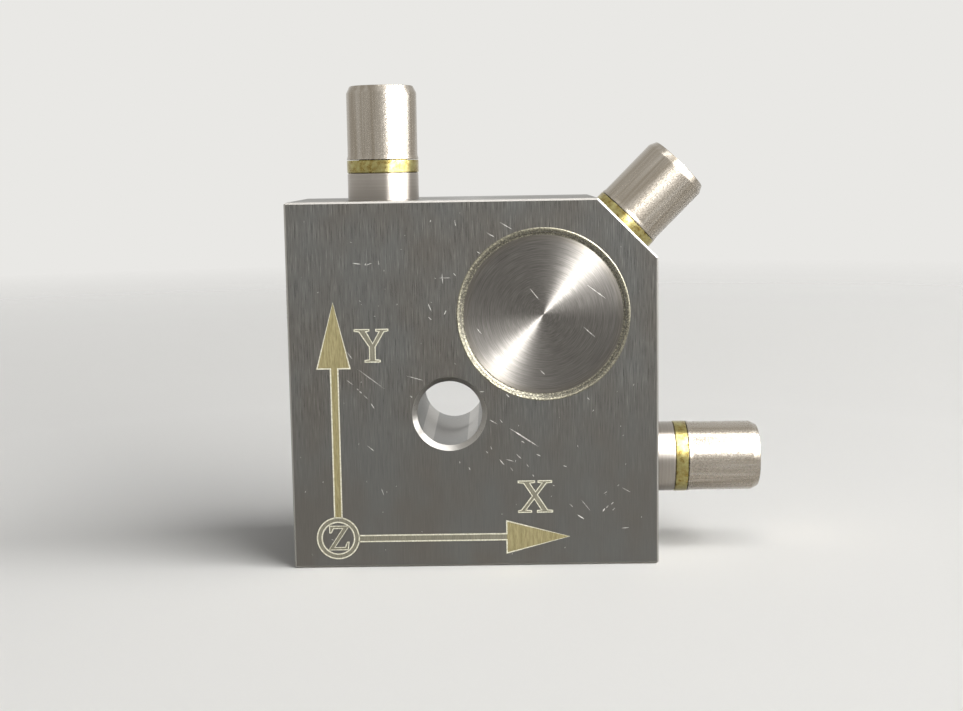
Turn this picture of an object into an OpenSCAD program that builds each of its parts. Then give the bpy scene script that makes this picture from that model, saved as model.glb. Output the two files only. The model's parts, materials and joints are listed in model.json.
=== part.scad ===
// Triaxial piezoelectric vibration sensor.
// A steel block holds one sensing element for each axis. An element is a stack of piezo
// rings under a seismic mass, closed in by a welded round cover. Its lead runs to a
// coaxial jack on a boss, and a screw-on dust cap closes the jack.
// The base face lies on z = 0, and the front face looks towards -y. The axis of the
// mounting hole crosses x = 0, and y = 0 is half way through the block.

/* [Block] */
// Width of the block, along x
body_w = 30; // [28:0.5:36]
// Thickness of the block, along y
body_t = 15; // [14.5:0.5:20]
// Height of the block, along z
body_h = 30; // [28:0.5:36]
// Leg of the large bevel at the upper right corner
corner_bevel = 4.8; // [4.6:0.1:6]
// Small bevel along the outer edges
edge_break = 0.15; // [0.1:0.05:0.4]

/* [Mounting hole] */
// Hole centre from the left face
hole_from_left = 13; // [12:0.1:14]
// Hole centre above the base face
hole_from_base = 12.7; // [12:0.1:14]
// Diameter of the hole, a clearance hole for an M5 screw
hole_d = 5.3; // [4.3:0.1:6]
// Bevel at both mouths of the hole
hole_bevel = 0.4; // [0.1:0.05:0.5]

/* [Sensing element] */
// Diameter of an element's cavity
cavity_d = 11; // [10:0.1:12]
// Width of the ledge that a cover sits on
ledge_w = 1.15; // [0.8:0.05:1.4]
// Thickness of a cover
cover_t = 0.9; // [0.6:0.1:1.5]
// Depth of a cover's face below the face of the block
cover_recess = 0.1; // [0.05:0.05:0.3]
// Bevel round the rim of a cover
cover_bevel = 0.1; // [0.05:0.05:0.2]
// Free height between the preload screw's head and the cover
head_room = 0.8; // [0.4:0.1:1.5]
// Height of the seismic mass
mass_h = 3.2; // [2.5:0.1:4]
// Gap between the seismic mass and the cavity wall
mass_gap = 1; // [0.6:0.1:1.5]
// Bevel at the top edge of the seismic mass
mass_bevel = 0.4; // [0.1:0.1:0.8]
// Thickness of one piezo ring
piezo_t = 1; // [0.6:0.1:1.5]
// Step from the edge of the mass in to the edge of the piezo rings
piezo_step = 0.5; // [0.2:0.1:1]
// Thickness of the electrode between the two piezo rings
electrode_t = 0.2; // [0.1:0.05:0.4]
// Width of the electrode's solder tab
tab_w = 1.2; // [0.8:0.1:2]
// Gap between the end of the tab and the cavity wall
tab_gap = 0.6; // [0.3:0.1:1]

/* [Preload screw] */
// Diameter of the preload screw
screw_d = 2; // [1.6:0.1:2.4]
// Diameter of its head
head_d = 3.8; // [3:0.1:4.5]
// Height of its head
head_h = 1.4; // [1:0.1:2]
// Width of the hex socket across its flats
hex_af = 1.5; // [1.2:0.1:2]
// Depth of the hex socket
hex_depth = 0.8; // [0.5:0.1:0.9]
// Depth of the tapped hole below the cavity floor
tap_depth = 3.2; // [2:0.1:4]
// Free depth of the tapped hole below the end of the screw
tap_spare = 0.6; // [0.3:0.1:1]
// Wall of the insulating sleeve round the screw
sleeve_wall = 0.2; // [0.15:0.05:0.4]

/* [Boss] */
// Diameter of the boss that carries a jack
boss_d = 6; // [5.6:0.05:6.2]
// Height of the boss above its shoulder
boss_h = 2.4; // [2:0.1:3]
// Bevel at the upper edge of the boss
boss_bevel = 0.2; // [0.1:0.05:0.3]
// Diameter of the boss's spigot, which sits in the block
spigot_d = 5; // [4.6:0.1:5.4]
// Length of the spigot
spigot_len = 1; // [0.8:0.1:2]
// How deep the boss on the top face is let into the block
x_sink = 0.15; // [0.1:0.05:1]
// How deep the boss on the right face is let into the block
y_sink = 0.4; // [0.1:0.05:1]
// How deep the flange of the corner jack is let into the block
corner_recess = 0.2; // [0.1:0.05:0.4]
// Metal between the corner port and the cavity behind it
corner_wall = 0.63; // [0.4:0.01:1]
// Metal between a side port and the cavity behind it
side_wall = 1.95; // [1:0.05:3]
// Diameter of the passage that a lead runs through
passage_d = 2.6; // [1.6:0.1:3.2]

/* [Jack] */
// Diameter of the jack's flange
flange_d = 6.05; // [5.6:0.05:6.4]
// Thickness of the flange
flange_t = 1.05; // [0.8:0.05:1.6]
// Bevel at both edges of the flange
flange_bevel = 0.15; // [0.05:0.05:0.3]
// Outer diameter of the jack's thread, a 10-32 fine thread
thread_d = 4.83; // [4.4:0.01:5.2]
// Length of the jack above its flange
thread_len = 4.7; // [4:0.1:6]
// Depth of the relief groove between the thread and the flange
relief = 0.4; // [0.2:0.05:0.5]
// Width of the relief groove
relief_w = 0.5; // [0.3:0.1:1]
// Bevel at the nose of the jack
nose_bevel = 0.25; // [0.1:0.05:0.4]
// Diameter of the jack's socket
socket_d = 3.2; // [2.8:0.1:3.4]
// Depth of the open socket above the insulator
socket_depth = 2.4; // [1.5:0.1:3]
// Diameter of the jack's stem, which sits in the boss
stem_d = 4; // [3.8:0.1:4.4]
// Length of the stem
stem_len = 2; // [1.5:0.1:2.8]
// Width of the ledge in the boss that the stem sits on
stem_ledge = 0.5; // [0.3:0.1:0.6]
// Thickness of the lip that holds the insulator
lip_t = 0.4; // [0.2:0.1:0.8]
// Diameter of the centre contact
pin_d = 1; // [0.9:0.05:1.2]
// Height of the contact above the insulator
pin_reach = 1.6; // [1:0.1:2]
// Diameter of the hole in the contact's tip
pin_bore = 0.5; // [0.3:0.05:0.6]
// Depth of the hole in the contact's tip
pin_bore_depth = 1.2; // [0.6:0.1:2]
// Diameter of the collar that stops the contact under the insulator
collar_d = 1.6; // [1.4:0.1:1.8]
// Thickness of that collar
collar_t = 0.5; // [0.3:0.1:0.8]
// Gap round the collar inside the lip
collar_gap = 0.4; // [0.3:0.05:0.5]
// Length of the contact's tail below the collar
tail_len = 1; // [0.9:0.1:1.2]
// Depth of the solder cup in the tail
cup_depth = 0.7; // [0.4:0.1:0.8]
// Diameter of the signal lead
lead_d = 0.5; // [0.3:0.05:0.6]

/* [Dust cap] */
// Diameter of the dust cap
cap_d = 5.9; // [5.6:0.05:6.4]
// Thickness of the cap's closed end
cap_end = 0.9; // [0.6:0.1:2]
// How far the taper at the closed end runs in
cap_taper = 0.3; // [0.1:0.05:0.5]
// Length of that taper
cap_taper_len = 0.6; // [0.3:0.05:0.8]
// How far the cap flares out at its mouth
mouth_flare = 0.07; // [0.05:0.01:0.1]
// Length of that flare
mouth_flare_len = 0.25; // [0.1:0.05:0.4]
// Straight rim below the flare
mouth_rim = 0.08; // [0.05:0.01:0.15]
// Thickness of the gasket in the cap's closed end
gasket_t = 0.5; // [0.3:0.1:1]

/* [Clearances] */
// Gap round each piece that is fixed in a hole
fit_gap = 0.02; // [0.01:0.01:0.04]
// Gap round the jack's thread and the gasket in the cap
cap_gap = 0.05; // [0.03:0.01:0.1]
// Gap between the closed cap and the jack, at the flange and at the nose
seat_gap = 0.05; // [0.03:0.01:0.1]
// Gap round the lead in its solder cup
cup_gap = 0.05; // [0.02:0.01:0.08]

/* [Hidden] */
$fn = 72;
// Every cut runs this far past the face that it opens
spill = 1;

// The block's left and right faces
left_x = -hole_from_left;
right_x = body_w - hole_from_left;
middle_x = (left_x + right_x) / 2;

// The stack in a cavity, as depths below the face of the block
cover_d = cavity_d + 2 * ledge_w;
cover_seat = cover_recess + cover_t;
head_top = cover_seat + head_room;
mass_top = head_top + head_h;
outer_ring_top = mass_top + mass_h;
electrode_top = outer_ring_top + piezo_t;
inner_ring_top = electrode_top + electrode_t;
cavity_floor = inner_ring_top + piezo_t;
electrode_depth = electrode_top + electrode_t / 2;
screw_tip = cavity_floor + tap_depth - tap_spare;

// Diameters across the stack
mass_d = cavity_d - 2 * mass_gap;
piezo_d = mass_d - 2 * piezo_step;
sleeve_bore = screw_d + 2 * fit_gap;
sleeve_d = sleeve_bore + 2 * sleeve_wall;
piezo_bore = sleeve_d + 2 * fit_gap;
tab_end = cavity_d / 2 - tab_gap;

// The jack, as heights above the top of its boss
jack_top = flange_t + thread_len;
insulator_low = lip_t - stem_len;
insulator_top = jack_top - socket_depth;
contact_low = insulator_low - collar_t - tail_len;
cup_end = contact_low + cup_depth;
lip_d = collar_d + 2 * collar_gap;

// The dust cap, as heights above the top of the boss
cap_low = flange_t + seat_gap;
gasket_low = jack_top + seat_gap;
cap_bore_top = gasket_low + gasket_t + fit_gap;
cap_top = cap_bore_top + cap_end;
cap_bore = thread_d + 2 * cap_gap;

// The boss at the corner is let in whole, with the underside of the flange
z_sink = boss_h + corner_recess;
// Distance from the axis of each element to the face that its jack stands on
x_reach = cavity_d / 2 + side_wall + spigot_len + x_sink;
y_reach = cavity_d / 2 + side_wall + spigot_len + y_sink;
z_reach = cavity_d / 2 + corner_wall + spigot_len + z_sink;
corner_inset = (z_reach * sqrt(2) + corner_bevel) / 2;

// Places of the elements. z = 0 is the block's face, z points out of it,
// and x points at the element's jack.
module in_left_face() {
    translate([left_x, 0, body_h - x_reach]) rotate([0, -90, 0]) children();
}
module in_base_face() {
    translate([right_x - y_reach, 0, 0]) rotate([180, 0, 0]) children();
}
module in_front_face() {
    translate([right_x - corner_inset, -body_t / 2, body_h - corner_inset])
        rotate([90, 0, 0]) rotate([0, 0, 45]) children();
}

// Places of the ports. z = 0 is the block's face, and z points out of it.
module at_top_port() {
    translate([left_x + electrode_depth, 0, body_h]) children();
}
module at_right_port() {
    translate([right_x, 0, electrode_depth]) rotate([0, 90, 0]) children();
}
module at_corner_port() {
    translate([right_x - corner_bevel / 2, electrode_depth - body_t / 2, body_h - corner_bevel / 2])
        rotate([0, 45, 0]) children();
}

// Places of the jacks. z = 0 is the top of the boss.
module on_x_boss() {
    at_top_port() translate([0, 0, boss_h - x_sink]) children();
}
module on_y_boss() {
    at_right_port() translate([0, 0, boss_h - y_sink]) children();
}
module on_z_boss() {
    at_corner_port() translate([0, 0, boss_h - z_sink]) children();
}

// Cylinder between two heights
module rod(d, low, high) {
    translate([0, 0, low]) cylinder(d = d, h = high - low);
}

// Tube between two heights
module tube(outer, inner, low, high) {
    difference() {
        rod(outer, low, high);
        rod(inner, low - spill, high + spill);
    }
}

// Rectangle about the origin with all four corners bevelled
module bevelled_rectangle(w, h, bevel) {
    x = w / 2;
    y = h / 2;
    polygon([[-x + bevel, -y], [x - bevel, -y], [x, -y + bevel], [x, y - bevel],
        [x - bevel, y], [-x + bevel, y], [-x, y - bevel], [-x, -y + bevel]]);
}

// Block seen from the front, with its large corner bevel
module front_outline() {
    polygon([[left_x + edge_break, 0], [right_x - edge_break, 0], [right_x, edge_break],
        [right_x, body_h - corner_bevel], [right_x - corner_bevel, body_h], [left_x + edge_break, body_h],
        [left_x, body_h - edge_break], [left_x, edge_break]]);
}

// The block before it is drilled, with a small bevel along every edge of its front and back
module blank() {
    span = 2 * (body_w + body_h);
    intersection() {
        rotate([90, 0, 0]) linear_extrude(body_t, center = true) front_outline();
        translate([middle_x, 0, 0]) linear_extrude(body_h) bevelled_rectangle(body_w, body_t, edge_break);
        translate([middle_x, 0, body_h / 2]) rotate([90, 0, 90])
            linear_extrude(body_w, center = true) bevelled_rectangle(body_t, body_h, edge_break);
        at_corner_port() translate([0, body_t / 2 - electrode_depth, -span / 2]) rotate([90, 0, 90])
            linear_extrude(span, center = true) bevelled_rectangle(body_t, span, edge_break);
    }
}

// What an element takes out of the block: cover seat, cavity and tapped hole
module cavity() {
    rod(cover_d + 2 * fit_gap, -cover_seat, spill);
    rod(cavity_d, -cavity_floor, 0);
    rod(screw_d + 2 * fit_gap, -cavity_floor - tap_depth, 0);
}

// What a jack takes out of the block: boss seat, spigot seat and lead passage
module port(sink, reach) {
    rod(boss_d + 2 * fit_gap, -sink, spill);
    rod(spigot_d + 2 * fit_gap, -sink - spigot_len, 0);
    rod(passage_d, -reach + tab_end, 0);
}

// Screw hole through the block, with a bevel at each mouth
module mounting_hole() {
    y = body_t / 2;
    r = hole_d / 2;
    translate([0, 0, hole_from_base]) rotate([90, 0, 0]) rotate_extrude()
        polygon([[0, -y - spill], [r + hole_bevel + spill, -y - spill], [r, -y + hole_bevel],
            [r, y - hole_bevel], [r + hole_bevel + spill, y + spill], [0, y + spill]]);
}

module housing() {
    color("#8c8983") difference() {
        blank();
        mounting_hole();
        in_left_face() cavity();
        in_base_face() cavity();
        in_front_face() cavity();
        at_top_port() port(x_sink, x_reach);
        at_right_port() port(y_sink, y_reach);
        at_corner_port() port(z_sink, z_reach);
        at_corner_port() rod(flange_d + 2 * fit_gap, -corner_recess, spill);
    }
}

// Turned disc, welded over an element
module cover() {
    r = cover_d / 2;
    color("#a5a29c") rotate_extrude()
        polygon([[0, -cover_seat], [r, -cover_seat], [r, -cover_recess - cover_bevel],
            [r - cover_bevel, -cover_recess], [0, -cover_recess]]);
}

// Socket screw that clamps the stack to the cavity floor
module preload_screw() {
    color("#5d5f63") difference() {
        union() {
            rod(head_d, -mass_top, -head_top);
            rod(screw_d, -screw_tip, -mass_top);
        }
        translate([0, 0, -head_top - hex_depth])
            cylinder(d = hex_af / cos(30), h = hex_depth + spill, $fn = 6);
    }
}

// Heavy ring whose inertia presses on the piezo rings
module seismic_mass() {
    r = mass_d / 2;
    bore = screw_d / 2 + fit_gap;
    color("#6b6a68") rotate_extrude()
        polygon([[bore, -outer_ring_top], [r, -outer_ring_top], [r, -mass_top - mass_bevel],
            [r - mass_bevel, -mass_top], [bore, -mass_top]]);
}

module outer_piezo_ring() {
    color("#d8cfae") tube(piezo_d, piezo_bore, -electrode_top, -outer_ring_top);
}

module inner_piezo_ring() {
    color("#d8cfae") tube(piezo_d, piezo_bore, -cavity_floor, -inner_ring_top);
}

// Thin washer with a tab for the lead
module electrode() {
    color("#c58a4a") difference() {
        union() {
            rod(piezo_d, -inner_ring_top, -electrode_top);
            translate([0, -tab_w / 2, -inner_ring_top]) cube([tab_end, tab_w, electrode_t]);
        }
        rod(piezo_bore, -inner_ring_top - spill, -electrode_top + spill);
    }
}

// Tube that keeps the electrode off the screw
module insulating_sleeve() {
    color("#e9e4d4") tube(sleeve_d, sleeve_bore, -cavity_floor, -outer_ring_top);
}

// Straight lead from the electrode's tab to the contact's solder cup
module signal_lead(sink, reach) {
    color("#b87a3c") rod(lead_d, tab_end - reach - boss_h + sink, cup_end);
}

// Turned stub that carries the jack
module connector_boss() {
    r = boss_d / 2;
    low = -boss_h - spigot_len;
    seat_r = stem_d / 2 + fit_gap;
    bore = stem_d / 2 - stem_ledge;
    color("#b9b6b0") rotate_extrude()
        polygon([[bore, low], [spigot_d / 2, low], [spigot_d / 2, -boss_h], [r, -boss_h], [r, -boss_bevel],
            [r - boss_bevel, 0], [seat_r, 0], [seat_r, -stem_len], [bore, -stem_len]]);
}

// Gold-plated shell: stem, flange, relief groove, threaded barrel and socket
module jack_shell() {
    flange_r = flange_d / 2;
    thread_r = thread_d / 2;
    groove_r = thread_r - relief;
    groove_top = flange_t + relief_w;
    color("#c9a24a") rotate_extrude()
        polygon([[lip_d / 2, -stem_len], [stem_d / 2, -stem_len], [stem_d / 2, 0], [flange_r - flange_bevel, 0],
            [flange_r, flange_bevel], [flange_r, flange_t - flange_bevel], [flange_r - flange_bevel, flange_t],
            [groove_r, flange_t], [groove_r, groove_top], [thread_r, groove_top],
            [thread_r, jack_top - nose_bevel], [thread_r - nose_bevel, jack_top], [socket_d / 2, jack_top],
            [socket_d / 2, insulator_low], [lip_d / 2, insulator_low]]);
}

// PTFE bush round the contact
module jack_insulator() {
    color("#f2f0ea") tube(socket_d - 2 * fit_gap, pin_d + 2 * fit_gap, insulator_low, insulator_top);
}

// Pin with a hollow tip, a collar and a solder cup
module jack_contact() {
    tip = insulator_top + pin_reach;
    color("#d0aa52") difference() {
        union() {
            rod(pin_d, contact_low, tip);
            rod(collar_d, insulator_low - collar_t, insulator_low);
        }
        rod(pin_bore, tip - pin_bore_depth, tip + spill);
        rod(lead_d + 2 * cup_gap, contact_low - spill, cup_end);
    }
}

// Round cap that screws on to the jack
module dust_cap() {
    r = cap_d / 2;
    bore = cap_bore / 2;
    color("#c4bfb4") rotate_extrude()
        polygon([[bore, cap_low], [r + mouth_flare, cap_low], [r + mouth_flare, cap_low + mouth_rim],
            [r, cap_low + mouth_rim + mouth_flare_len], [r, cap_top - cap_taper_len],
            [r - cap_taper, cap_top], [0, cap_top], [0, cap_bore_top], [bore, cap_bore_top]]);
}

// Sealing disc in the closed end of the cap
module cap_gasket() {
    color("#3a3836") rod(cap_bore - 2 * cap_gap, gasket_low, gasket_low + gasket_t);
}

housing();

in_left_face() cover();  // x_cover
in_left_face() preload_screw();  // x_preload_screw
in_left_face() seismic_mass();  // x_seismic_mass
in_left_face() outer_piezo_ring();  // x_outer_piezo_ring
in_left_face() electrode();  // x_electrode
in_left_face() inner_piezo_ring();  // x_inner_piezo_ring
in_left_face() insulating_sleeve();  // x_insulating_sleeve
on_x_boss() signal_lead(x_sink, x_reach);  // x_signal_lead
on_x_boss() connector_boss();  // x_connector_boss
on_x_boss() jack_shell();  // x_jack_shell
on_x_boss() jack_insulator();  // x_jack_insulator
on_x_boss() jack_contact();  // x_jack_contact
on_x_boss() dust_cap();  // x_dust_cap
on_x_boss() cap_gasket();  // x_cap_gasket

in_base_face() cover();  // y_cover
in_base_face() preload_screw();  // y_preload_screw
in_base_face() seismic_mass();  // y_seismic_mass
in_base_face() outer_piezo_ring();  // y_outer_piezo_ring
in_base_face() electrode();  // y_electrode
in_base_face() inner_piezo_ring();  // y_inner_piezo_ring
in_base_face() insulating_sleeve();  // y_insulating_sleeve
on_y_boss() signal_lead(y_sink, y_reach);  // y_signal_lead
on_y_boss() connector_boss();  // y_connector_boss
on_y_boss() jack_shell();  // y_jack_shell
on_y_boss() jack_insulator();  // y_jack_insulator
on_y_boss() jack_contact();  // y_jack_contact
on_y_boss() dust_cap();  // y_dust_cap
on_y_boss() cap_gasket();  // y_cap_gasket

in_front_face() cover();  // z_cover
in_front_face() preload_screw();  // z_preload_screw
in_front_face() seismic_mass();  // z_seismic_mass
in_front_face() outer_piezo_ring();  // z_outer_piezo_ring
in_front_face() electrode();  // z_electrode
in_front_face() inner_piezo_ring();  // z_inner_piezo_ring
in_front_face() insulating_sleeve();  // z_insulating_sleeve
on_z_boss() signal_lead(z_sink, z_reach);  // z_signal_lead
on_z_boss() connector_boss();  // z_connector_boss
on_z_boss() jack_shell();  // z_jack_shell
on_z_boss() jack_insulator();  // z_jack_insulator
on_z_boss() jack_contact();  // z_jack_contact
on_z_boss() dust_cap();  // z_dust_cap
on_z_boss() cap_gasket();  // z_cap_gasket
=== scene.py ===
"""Looks of the triaxial vibration sensor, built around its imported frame."""
import json
import math
import random

import bmesh
import bpy
from mathutils import Matrix, Vector

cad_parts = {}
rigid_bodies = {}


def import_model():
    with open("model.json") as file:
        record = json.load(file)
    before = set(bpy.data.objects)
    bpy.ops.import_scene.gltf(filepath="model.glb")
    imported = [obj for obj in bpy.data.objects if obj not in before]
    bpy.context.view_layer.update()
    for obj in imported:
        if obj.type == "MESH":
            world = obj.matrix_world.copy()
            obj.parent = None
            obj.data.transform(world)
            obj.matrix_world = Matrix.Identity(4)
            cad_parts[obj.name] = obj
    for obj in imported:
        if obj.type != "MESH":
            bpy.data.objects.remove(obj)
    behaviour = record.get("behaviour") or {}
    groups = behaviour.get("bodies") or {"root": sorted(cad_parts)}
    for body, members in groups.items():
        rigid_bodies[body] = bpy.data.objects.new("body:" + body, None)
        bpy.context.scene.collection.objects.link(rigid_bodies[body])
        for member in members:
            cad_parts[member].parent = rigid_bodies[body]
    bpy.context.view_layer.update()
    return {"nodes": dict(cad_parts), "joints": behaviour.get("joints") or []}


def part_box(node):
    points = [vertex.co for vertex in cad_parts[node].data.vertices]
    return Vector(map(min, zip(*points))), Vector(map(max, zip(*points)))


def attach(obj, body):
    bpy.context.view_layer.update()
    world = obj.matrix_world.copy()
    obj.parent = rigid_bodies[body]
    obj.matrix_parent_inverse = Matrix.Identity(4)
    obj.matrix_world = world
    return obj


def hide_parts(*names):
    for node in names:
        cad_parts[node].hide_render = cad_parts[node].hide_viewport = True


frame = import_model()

MM = 0.001
AXES = ("x", "y", "z")
NODES = frame["nodes"]

# Camera of the photograph, in millimetres, degrees and pixels
IMAGE_SIZE = (963, 711)
FOCAL_PX = 1480
SENSOR_MM = 36
CAMERA_AT = (3.96, -126.32, 32.77)
CAMERA_YAW = 0.62
CAMERA_PITCH = 82.66
CAMERA_ROLL = -0.92
CAMERA_CLIP = (5, 10000)

# Fineness of the meshes: segments round an axis, the angle in degrees from which an edge stays sharp, steps
# in a rounded edge, the most of a side that it takes up, and what counts as the same length in millimetres
SEGMENTS = 128
SHARP_ANGLE = 40
ARC_STEPS = 4
ARC_SHARE = 0.45
CLOSE = 0.001
ON_AXIS = 1e-6

# Turned pieces, radii and lengths in millimetres
EDGE_ROUND = 0.06
THREAD_PITCH = 0.79375
THREAD_DEPTH = 0.32
THREAD_ROWS = 12
THREAD_R = 2.415
THREAD_FADE = 0.3
THREAD_FLANK = 2.6
THREAD_CREST = 0.15
THREAD_START = 0.02
GROOVE_DEPTH = 0.4
GROOVE_W = 0.5
FLANGE_STEP = 0.3
FLANGE_EDGES = (0.08, 0.06)
NOSE_EDGE = 0.25
LIP_R = 1.2
SOCKET_R = 1.6
SOCKET_EDGE = 0.1
STEM_R = 2.0
STEM_LEN = 2.0
STEM_GAP = 0.02
BOSS_BORE = 1.5
BOSS_EDGE = 0.16
SPIGOT_R = 2.5
SPIGOT_LEN = 1.0
CAP_TAPER = (0.3, 0.6)
CAP_EDGE = 0.08
CAP_GAP = 0.05
CAP_THREAD_DEPTH = 0.25
CAP_THREAD_ENDS = (0.3, 0.7)
GASKET_GAP = 0.02
MOUTH_FLARE = (0.07, 0.25)
MOUTH_RIM = 0.08
MOUTH_EDGE = 0.2
COVER_EDGE = 0.1
COVER_RINGS = (0.9, 0.75, 0.6, 0.45, 0.3, 0.15)

# Brushed block: a lying face has a normal at least this upright, and on an edge or the bevel it follows no
# axis more than this
LYING_LEAN = 0.9
EDGE_LEAN = 0.85

# Weld bead round a cover, in millimetres. Its dip towards the cover is given in halves of its width
WELD_OUT = 0.08
WELD_WIDTH = 0.58
WELD_RISE = 0.05
WELD_RIPPLE = 0.02
WELD_ROUGH = 0.022
WELD_SPOT = 0.3
WELD_BOW = 0.4
WELD_DIP_START = 0.16
WELD_DIP_SLOPE = 2.5
WELD_CLEAR = 0.002
WELD_SINK = 0.1
WELD_COLUMNS = 520
WELD_ROWS = 9
WELD_SEED = 5

# Light: where each lamp stands from the middle of the block and its size, in metres, the direction that its
# second side runs in, and its radiance. The glint lamp stands in the place of the key lamp
KEY_AT = (0.53, -0.338, 0.494)
KEY_SIZE = (0.2, 1.04)
KEY_WAY = (0, -1, 0)
KEY_LEVEL = 9.5
GLINT_LEVEL = 82.0
SIDE_AT = (0.76, -0.36, 0.16)
SIDE_SIZE = (1.2, 0.3)
SIDE_WAY = (0, 0, 1)
SIDE_LEVEL = 5.0
OVERHEAD_AT = (0.35, -0.15, 1.0)
OVERHEAD_SIZE = (1.1, 0.25)
OVERHEAD_WAY = (0, 1, 0)
OVERHEAD_LEVEL = 4.0
FILL_LEVEL = 0.2

# Floor, in millimetres, and the distances between which it fades out
FLOOR_HALF = 900
FLOOR_INSET = 0.3
FLOOR_DROP = 0.03
FLOOR_FADE = (80, 380)

# Marks on the front face in millimetres, as x and z from the origin of the frame
MARK_LINE = 0.1
LETTER_LINE = 0.075
MARK_RISE = 0.012
FILL_RISE = 0.006
MARK_SINK = 0.02
MITRE_LIMIT = 0.35
CIRCLE_AT = (-9.35, 2.47)
CIRCLE_OUTER = 1.72
CIRCLE_INNER = 1.34
CIRCLE_POINTS = 72
Y_ARROW = (
    (-9.6, 4.1), (-9.6, 16.55), (-10.69, 16.55), (-9.27, 21.92), (-8.01, 16.55), (-9.0, 16.55), (-9.0, 4.1))
X_SHAFT = ((-7.7, 2.16), (4.53, 2.16), (4.53, 2.67), (-7.7, 2.67))
X_HEAD = ((4.53, 2.16), (4.53, 1.04), (9.67, 2.38), (4.53, 3.74), (4.53, 2.67))
Y_BOX = (-7.59, 17.06, -4.86, 19.72)
X_BOX = (5.51, 4.44, 8.31, 7.06)
Z_BOX = (-10.15, 1.49, -8.44, 3.49)
Y_LETTER = (
    (0, 1), (0.44, 1), (0.44, 0.95), (0.34, 0.93), (0.54, 0.56), (0.74, 0.93), (0.64, 0.95), (0.64, 1),
    (1, 1), (1, 0.95), (0.88, 0.93), (0.61, 0.46), (0.61, 0.07), (0.75, 0.05), (0.75, 0), (0.3, 0),
    (0.3, 0.05), (0.44, 0.07), (0.44, 0.46), (0.14, 0.93), (0, 0.95))
X_LETTER = (
    (0, 1), (0.48, 1), (0.48, 0.95), (0.33, 0.93), (0.5, 0.65), (0.7, 0.93), (0.58, 0.95), (0.58, 1),
    (0.98, 1), (0.98, 0.95), (0.82, 0.93), (0.556, 0.557), (0.85, 0.07), (1, 0.05), (1, 0), (0.55, 0),
    (0.55, 0.05), (0.68, 0.07), (0.464, 0.428), (0.21, 0.07), (0.38, 0.05), (0.38, 0), (0, 0), (0, 0.05),
    (0.09, 0.07), (0.409, 0.519), (0.16, 0.93), (0, 0.95))
Z_LETTER = (
    (0.06, 1), (1, 1), (0.28, 0.1), (0.8, 0.1), (0.9, 0.32), (0.98, 0.32), (0.93, 0), (0, 0), (0.7, 0.9),
    (0.24, 0.9), (0.14, 0.72), (0.06, 0.72))

# Scratches on the front face and its cover, each as x and z of its two ends and its width
SCRATCH_RISE = 0.004
SCRATCH_SHOULDERS = (0.35, 0.7)
FACE_SCRATCHES = (
    (4.8, 11.5, 7.2, 9.9, 0.09), (-8.3, 15.6, -7.8, 15.2, 0.055), (-7.5, 14.9, -7.35, 14.75, 0.075),
    (-7.3, 14.7, -7.1, 14.5, 0.075), (-7.0, 14.4, -6.6, 14.0, 0.04), (-6.4, 13.7, -6.1, 13.2, 0.075),
    (-6.8, 10.2, -6.2, 9.7, 0.055), (-3.5, 15.9, -2.1, 15.5, 0.045), (-3.2, 14.25, -3.0, 14.1, 0.09),
    (2.4, 14.5, 2.9, 14.5, 0.05), (3.2, 12.2, 3.9, 11.8, 0.045), (4.1, 12.2, 4.3, 11.9, 0.045),
    (4.6, 14.3, 4.9, 14.0, 0.06), (5.4, 9.3, 5.8, 8.9, 0.055), (5.8, 10.4, 6.1, 10.2, 0.06),
    (11.2, 13.9, 11.4, 13.7, 0.06), (14.0, 6.4, 14.7, 6.0, 0.05), (9.2, 8.3, 9.5, 8.2, 0.06),
    (-0.4, 24.2, -0.35, 23.3, 0.05), (-0.7, 23.8, 0.3, 23.8, 0.045), (0.5, 24.2, 0.75, 23.9, 0.05),
    (-7.6, 25.1, -6.9, 25.0, 0.06), (-6.5, 24.9, -6.0, 25.1, 0.045), (-5.5, 25.3, -5.45, 24.9, 0.045),
    (0.7, 28.3, 0.8, 27.9, 0.055), (-1.6, 21.8, -1.3, 21.1, 0.05), (-1.6, 20.7, -1.3, 20.4, 0.05),
    (-0.3, 20.8, -0.1, 21.2, 0.045), (-7.4, 16.5, -5.2, 14.8, 0.035), (-8.2, 17.9, -7.8, 17.3, 0.045),
    (2.4, 25.9, 2.7, 25.7, 0.05), (3.2, 27.4, 3.9, 27.0, 0.045), (4.3, 28.2, 5.3, 27.6, 0.045),
    (9.7, 5.1, 10.0, 4.8, 0.05), (10.3, 4.2, 10.9, 3.8, 0.075), (10.6, 5.5, 11.4, 4.5, 0.04),
    (-5.7, 6.6, -5.5, 6.0, 0.04), (1.5, 8.3, 1.6, 8.0, 0.055),
    (12.4, 4.4, 12.6, 4.7, 0.085), (12.7, 4.7, 12.9, 4.95, 0.07), (13.1, 5.0, 13.3, 5.2, 0.075),
    (12.5, 5.9, 12.8, 6.1, 0.045), (13.2, 4.5, 13.4, 4.7, 0.045), (4.0, 8.9, 4.4, 8.4, 0.055),
    (4.5, 8.9, 5.2, 8.7, 0.045), (4.9, 8.2, 5.1, 7.9, 0.06), (6.2, 8.5, 6.4, 8.2, 0.06),
    (6.7, 7.6, 6.8, 7.4, 0.05), (7.0, 9.3, 7.4, 9.1, 0.055), (2.9, 9.6, 3.1, 9.4, 0.055),
    (3.3, 10.0, 3.4, 9.7, 0.05), (13.9, 3.0, 14.6, 3.05, 0.05))
COVER_SCRATCHES = (
    (6.6, 22.9, 7.4, 21.9, 0.05), (11.2, 23.1, 12.8, 21.9, 0.07), (2.3, 19.7, 2.7, 19.2, 0.06),
    (7.4, 16.2, 7.8, 15.8, 0.06), (10.9, 19.7, 11.9, 18.8, 0.04))

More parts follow.
